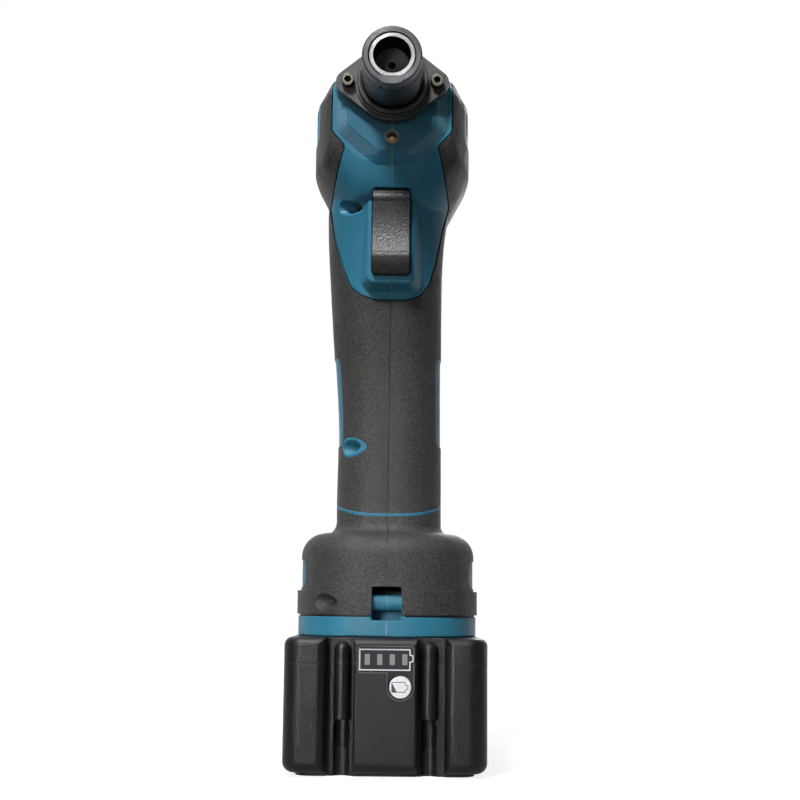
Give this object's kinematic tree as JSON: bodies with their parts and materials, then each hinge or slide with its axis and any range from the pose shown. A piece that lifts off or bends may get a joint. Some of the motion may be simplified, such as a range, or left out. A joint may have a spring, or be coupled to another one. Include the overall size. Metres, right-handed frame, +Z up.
{
  "type": "palm nailer",
  "caption": "Cordless palm nailer with an upright rubber-covered grip, a right-angle hammer head whose spring-loaded nose takes a nail, and a slide-on battery.",
  "frame": {"origin": "on the surface that the battery stands on, under the motor axis", "axes": "+Z up along the motor axis, -Y the way the nose points, +Y the way the battery slides off, +X to the right of a viewer who faces the nose"},
  "size_m": [0.075, 0.136, 0.2866],
  "materials": {
    "body_blue": "fine grain",
    "cover_rubber": "fine grain",
    "screw_steel": "blackened",
    "dark_steel": "satin",
    "seal_rubber": "matt",
    "bronze": "satin",
    "cast_alloy": "as cast",
    "spring_steel": "satin",
    "steel": "machined",
    "copper": "enamelled wire",
    "black_plastic": "plain",
    "lens": "clear",
    "board": "lacquered",
    "collar_steel": "satin",
    "bright_steel": "turned",
    "trigger_plastic": "fine grain",
    "pack_plastic": "spark-textured",
    "cell_metal": "sleeved",
    "panel_plastic": "printed",
    "white_plastic": "plain"
  },
  "bodies": {
    "tool": {"body_left": "body_blue", "body_right": "body_blue", "head_bumper_left": "cover_rubber", "head_bumper_right": "cover_rubber", "grip_cover_left": "cover_rubber", "grip_cover_right": "cover_rubber", "base_cover_left": "cover_rubber", "base_cover_right": "cover_rubber", "body_screws": "screw_steel", "nose_flange": "dark_steel", "flange_screws": "screw_steel", "nose_wiper": "seal_rubber", "driver_bushing": "bronze", "driver_bumper": "seal_rubber", "gear_housing": "cast_alloy", "end_plug": "cast_alloy", "main_spring": "spring_steel", "nose_spring": "spring_steel", "crank_bearing": "steel", "ring_gear": "steel", "gear_cover": "cast_alloy", "gear_bearing": "steel", "motor_bearing_top": "steel", "motor_bearing_low": "steel", "stator": "steel", "motor_coils": "copper", "trigger_spring": "spring_steel", "switch": "black_plastic", "lamp_lens": "lens", "lamp_board": "board", "controller_board": "board", "terminal_block": "black_plastic", "terminal_blades": "bronze"},
    "nose": {"nose_collar": "collar_steel", "nail_sleeve": "bright_steel", "nose_magnet": "collar_steel", "nose_clip": "dark_steel"},
    "driver": {"driver": "dark_steel"},
    "hammer": {"hammer": "steel"},
    "rotor": {"motor_shaft": "steel", "rotor_core": "steel", "cooling_fan": "black_plastic", "sun_pinion": "steel"},
    "crank": {"crank": "steel", "lift_roller": "steel"},
    "planet_1": {"planet_gear_1": "steel"},
    "planet_2": {"planet_gear_2": "steel"},
    "planet_3": {"planet_gear_3": "steel"},
    "trigger": {"trigger": "trigger_plastic"},
    "battery": {"pack_lower": "pack_plastic", "pack_upper": "pack_plastic", "pack_cells": "cell_metal", "pack_board": "board", "pack_contacts": "bronze", "pack_screws": "screw_steel", "gauge_panel": "panel_plastic", "release_spring": "spring_steel"},
    "release": {"release_button": "pack_plastic"},
    "check": {"check_button": "white_plastic"}
  },
  "joints": [
    {"name": "rotor_spin", "type": "hinge", "parent": "tool", "child": "rotor", "pos_m": [0, 0, 0.15], "axis": [0, 0, -1], "continuous": true},
    {"name": "crank_spin", "type": "hinge", "parent": "tool", "child": "crank", "pos_m": [0, 0, 0.242], "axis": [0, 0, -1], "continuous": true},
    {"name": "planet_1_spin", "type": "hinge", "parent": "crank", "child": "planet_1", "pos_m": [0.01125, 0, 0.235], "axis": [0, 0, -1], "continuous": true},
    {"name": "planet_2_spin", "type": "hinge", "parent": "crank", "child": "planet_2", "pos_m": [-0.00562, 0.00974, 0.235], "axis": [0, 0, -1], "continuous": true},
    {"name": "planet_3_spin", "type": "hinge", "parent": "crank", "child": "planet_3", "pos_m": [-0.00562, -0.00974, 0.235], "axis": [0, 0, -1], "continuous": true},
    {"name": "trigger_press", "type": "slide", "parent": "tool", "child": "trigger", "axis": [0, 1, 0], "range_m": [0, 0.005], "stiffness_N_per_m": 900, "springref_m": -0.002, "deforming": ["trigger_spring"]},
    {"name": "nose_press", "type": "slide", "parent": "tool", "child": "nose", "axis": [0, 1, 0], "range_m": [0, 0.01], "stiffness_N_per_m": 600, "springref_m": -0.006, "deforming": ["nose_spring"]},
    {"name": "driver_slide", "type": "slide", "parent": "tool", "child": "driver", "axis": [0, 1, 0], "range_m": [0, 0.007], "stiffness_N_per_m": 1500, "springref_m": -0.008},
    {"name": "hammer_slide", "type": "slide", "parent": "driver", "child": "hammer", "axis": [0, 1, 0], "range_m": [0, 0.0135], "stiffness_N_per_m": 1500, "springref_m": -0.008, "deforming": ["main_spring"]},
    {"name": "battery_slide", "type": "slide", "parent": "tool", "child": "battery", "axis": [0, 1, 0], "range_m": [0, 0.078]},
    {"name": "release_press", "type": "slide", "parent": "battery", "child": "release", "axis": [0, 0, -1], "range_m": [0, 0.004], "stiffness_N_per_m": 700, "springref_m": -0.002, "deforming": ["release_spring"]},
    {"name": "check_press", "type": "slide", "parent": "battery", "child": "check", "axis": [0, 1, 0], "range_m": [0, 0.0008], "stiffness_N_per_m": 1500, "springref_m": -0.0004}
  ],
  "couplings": [
    {"joint": "crank_spin", "follows": "rotor_spin", "ratio": 0.2},
    {"joint": "planet_1_spin", "follows": "rotor_spin", "ratio": -0.53333},
    {"joint": "planet_2_spin", "follows": "rotor_spin", "ratio": -0.53333},
    {"joint": "planet_3_spin", "follows": "rotor_spin", "ratio": -0.53333}
  ]
}
